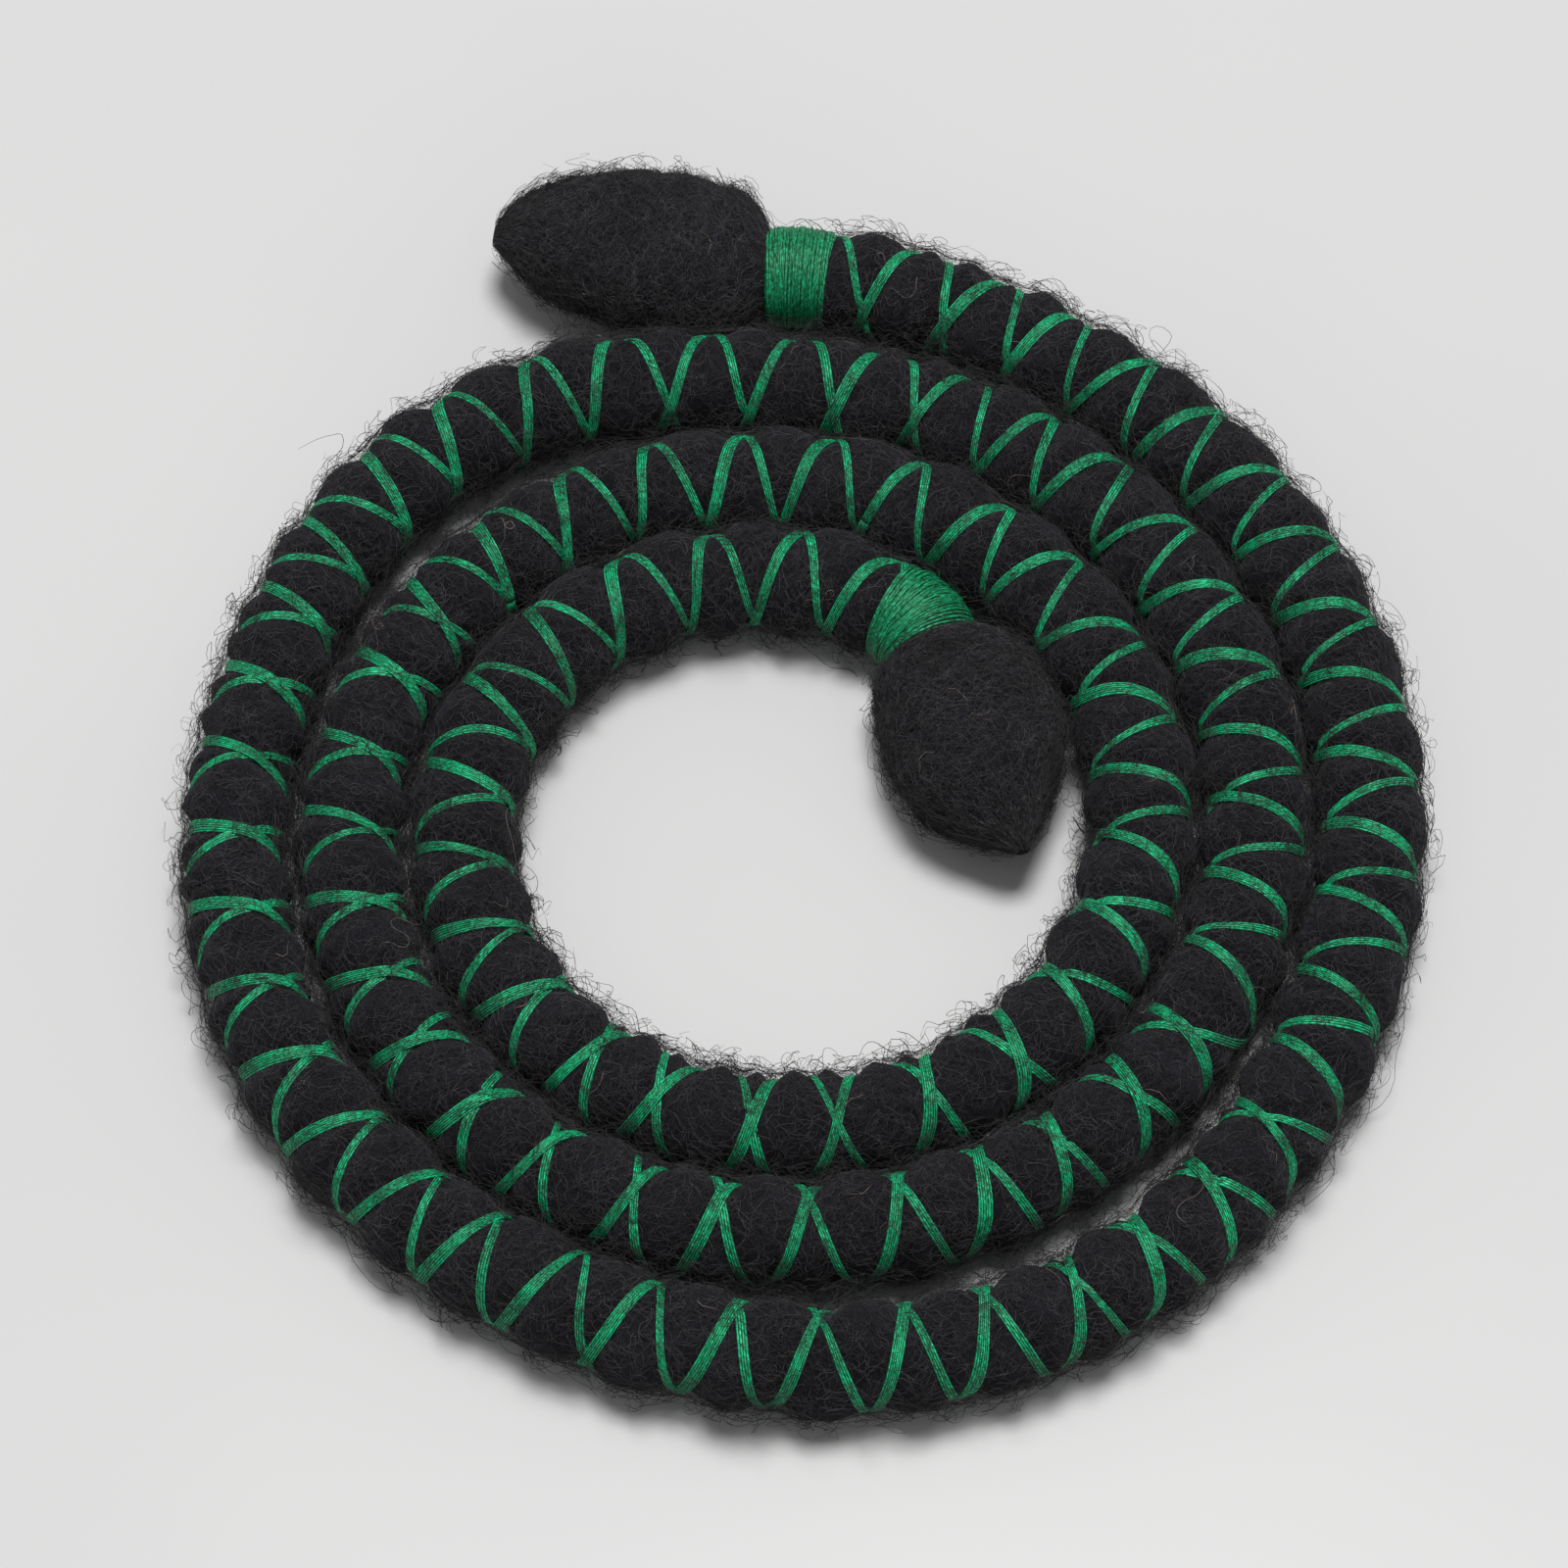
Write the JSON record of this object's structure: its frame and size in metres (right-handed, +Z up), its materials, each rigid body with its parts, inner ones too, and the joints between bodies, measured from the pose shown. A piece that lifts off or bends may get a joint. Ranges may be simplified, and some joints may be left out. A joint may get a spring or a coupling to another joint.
{
  "type": "bendable felted hair tie",
  "caption": "Bendable felted-wool rope tie with a soft wire core, criss-cross cotton floss wrapping and a pointed felt bud at each end, lying coiled flat.",
  "frame": {"origin": "middle of the bounding box's base, on the surface that the coil lies on", "axes": "+Z up, out of the coil's plane; +Y towards the outer bud's side of the coil; +X to the right with the outer bud at the far side, so the rope runs clockwise from its outer end to its inner end"},
  "size_m": [0.134, 0.1492, 0.0141],
  "materials": {
    "felt": "matted black wool felt with a fine fibre halo",
    "floss": "stranded emerald-green cotton floss with a soft sheen",
    "wire": "soft annealed wire"
  },
  "bodies": {
    "link_01": {"felt_rope_01": "felt", "wire_core_01": "wire", "floss_wrap_01": "floss", "whipping_outer": "floss"},
    "link_02": {"felt_rope_02": "felt", "wire_core_02": "wire", "floss_wrap_02": "floss"},
    "link_03": {"felt_rope_03": "felt", "wire_core_03": "wire", "floss_wrap_03": "floss"},
    "link_04": {"felt_rope_04": "felt", "wire_core_04": "wire", "floss_wrap_04": "floss"},
    "link_05": {"felt_rope_05": "felt", "wire_core_05": "wire", "floss_wrap_05": "floss"},
    "link_06": {"felt_rope_06": "felt", "wire_core_06": "wire", "floss_wrap_06": "floss"},
    "link_07": {"felt_rope_07": "felt", "wire_core_07": "wire", "floss_wrap_07": "floss"},
    "link_08": {"felt_rope_08": "felt", "wire_core_08": "wire", "floss_wrap_08": "floss"},
    "link_09": {"felt_rope_09": "felt", "wire_core_09": "wire", "floss_wrap_09": "floss"},
    "link_10": {"felt_rope_10": "felt", "wire_core_10": "wire", "floss_wrap_10": "floss"},
    "link_11": {"felt_rope_11": "felt", "wire_core_11": "wire", "floss_wrap_11": "floss"},
    "link_12": {"felt_rope_12": "felt", "wire_core_12": "wire", "floss_wrap_12": "floss"},
    "link_13": {"felt_rope_13": "felt", "wire_core_13": "wire", "floss_wrap_13": "floss"},
    "link_14": {"felt_rope_14": "felt", "wire_core_14": "wire", "floss_wrap_14": "floss"},
    "link_15": {"felt_rope_15": "felt", "wire_core_15": "wire", "floss_wrap_15": "floss"},
    "link_16": {"felt_rope_16": "felt", "wire_core_16": "wire", "floss_wrap_16": "floss"},
    "link_17": {"felt_rope_17": "felt", "wire_core_17": "wire", "floss_wrap_17": "floss"},
    "link_18": {"felt_rope_18": "felt", "wire_core_18": "wire", "floss_wrap_18": "floss", "whipping_inner": "floss"},
    "outer_bud": {"bud_outer": "felt", "wire_hook_outer": "wire"},
    "inner_bud": {"bud_inner": "felt", "wire_hook_inner": "wire"}
  },
  "joints": [
    {"name": "uncoil", "type": "hinge", "parent": "link_07", "child": "link_06", "pos_m": [-0.0194, 0.04947, 0.006], "axis": [0, 0, -1], "range_deg": [0, 31]},
    {"name": "bend_05_06", "type": "hinge", "parent": "link_06", "child": "link_05", "pos_m": [-0.05772, 0.01255, 0.006], "axis": [0, 0, -1], "range_deg": [0, 27.26]},
    {"name": "bend_04_05", "type": "hinge", "parent": "link_05", "child": "link_04", "pos_m": [-0.05035, -0.04141, 0.006], "axis": [0, 0, -1], "range_deg": [0, 28.17]},
    {"name": "bend_03_04", "type": "hinge", "parent": "link_04", "child": "link_03", "pos_m": [-0.00257, -0.06847, 0.006], "axis": [0, 0, -1], "range_deg": [0, 30.43]},
    {"name": "bend_02_03", "type": "hinge", "parent": "link_03", "child": "link_02", "pos_m": [0.05183, -0.03858, 0.006], "axis": [0, 0, -1], "range_deg": [0, 30.25]},
    {"name": "bend_01_02", "type": "hinge", "parent": "link_02", "child": "link_01", "pos_m": [0.05442, 0.02478, 0.006], "axis": [0, 0, -1], "range_deg": [0, 31.03]},
    {"name": "bend_07_08", "type": "hinge", "parent": "link_07", "child": "link_08", "pos_m": [0.03297, 0.03375, 0.006], "axis": [0, 0, 1], "range_deg": [0, 31.8]},
    {"name": "bend_08_09", "type": "hinge", "parent": "link_08", "child": "link_09", "pos_m": [0.04671, -0.0183, 0.006], "axis": [0, 0, 1], "range_deg": [0, 33.07]},
    {"name": "bend_09_10", "type": "hinge", "parent": "link_09", "child": "link_10", "pos_m": [0.00664, -0.05389, 0.006], "axis": [0, 0, 1], "range_deg": [0, 31.64]},
    {"name": "bend_10_11", "type": "hinge", "parent": "link_10", "child": "link_11", "pos_m": [-0.03622, -0.03935, 0.006], "axis": [0, 0, 1], "range_deg": [0, 30.01]},
    {"name": "bend_11_12", "type": "hinge", "parent": "link_11", "child": "link_12", "pos_m": [-0.04715, 0.0044, 0.006], "axis": [0, 0, 1], "range_deg": [0, 31.31]},
    {"name": "bend_12_13", "type": "hinge", "parent": "link_12", "child": "link_13", "pos_m": [-0.01499, 0.03575, 0.006], "axis": [0, 0, 1], "range_deg": [0, 32.81]},
    {"name": "bend_13_14", "type": "hinge", "parent": "link_13", "child": "link_14", "pos_m": [0.02741, 0.02163, 0.006], "axis": [0, 0, 1], "range_deg": [0, 34.54]},
    {"name": "bend_14_15", "type": "hinge", "parent": "link_14", "child": "link_15", "pos_m": [0.03171, -0.02256, 0.006], "axis": [0, 0, 1], "range_deg": [0, 36.59]},
    {"name": "bend_15_16", "type": "hinge", "parent": "link_15", "child": "link_16", "pos_m": [-0.00804, -0.04155, 0.006], "axis": [0, 0, 1], "range_deg": [0, 35.08]},
    {"name": "bend_16_17", "type": "hinge", "parent": "link_16", "child": "link_17", "pos_m": [-0.03494, -0.01778, 0.006], "axis": [0, 0, 1], "range_deg": [0, 33.25]},
    {"name": "inner_end_curl", "type": "hinge", "parent": "link_17", "child": "link_18", "pos_m": [-0.02572, 0.01667, 0.006], "axis": [0, 0, -1], "range_deg": [0, 20]},
    {"name": "outer_bud_lift", "type": "hinge", "parent": "link_01", "child": "outer_bud", "pos_m": [-0.00459, 0.0639, 0.006], "axis": [0.034, 0.9994, 0], "range_deg": [0, 30]},
    {"name": "inner_bud_bend", "type": "hinge", "parent": "link_18", "child": "inner_bud", "pos_m": [0.01453, 0.01498, 0.006], "axis": [0, 0, -1], "range_deg": [0, 20]}
  ],
  "couplings": [
    {"joint": "bend_05_06", "follows": "uncoil", "ratio": 0.86323},
    {"joint": "bend_04_05", "follows": "uncoil", "ratio": 0.89269},
    {"joint": "bend_03_04", "follows": "uncoil", "ratio": 0.96542},
    {"joint": "bend_02_03", "follows": "uncoil", "ratio": 0.95964},
    {"joint": "bend_01_02", "follows": "uncoil", "ratio": 0.98496},
    {"joint": "bend_07_08", "follows": "uncoil", "ratio": 1.0096},
    {"joint": "bend_08_09", "follows": "uncoil", "ratio": 1.0507},
    {"joint": "bend_09_10", "follows": "uncoil", "ratio": 1.0044},
    {"joint": "bend_10_11", "follows": "uncoil", "ratio": 0.95195},
    {"joint": "bend_11_12", "follows": "uncoil", "ratio": 0.99403},
    {"joint": "bend_12_13", "follows": "uncoil", "ratio": 1.0422},
    {"joint": "bend_13_14", "follows": "uncoil", "ratio": 1.0982},
    {"joint": "bend_14_15", "follows": "uncoil", "ratio": 1.1642},
    {"joint": "bend_15_16", "follows": "uncoil", "ratio": 1.1154},
    {"joint": "bend_16_17", "follows": "uncoil", "ratio": 1.0564}
  ]
}
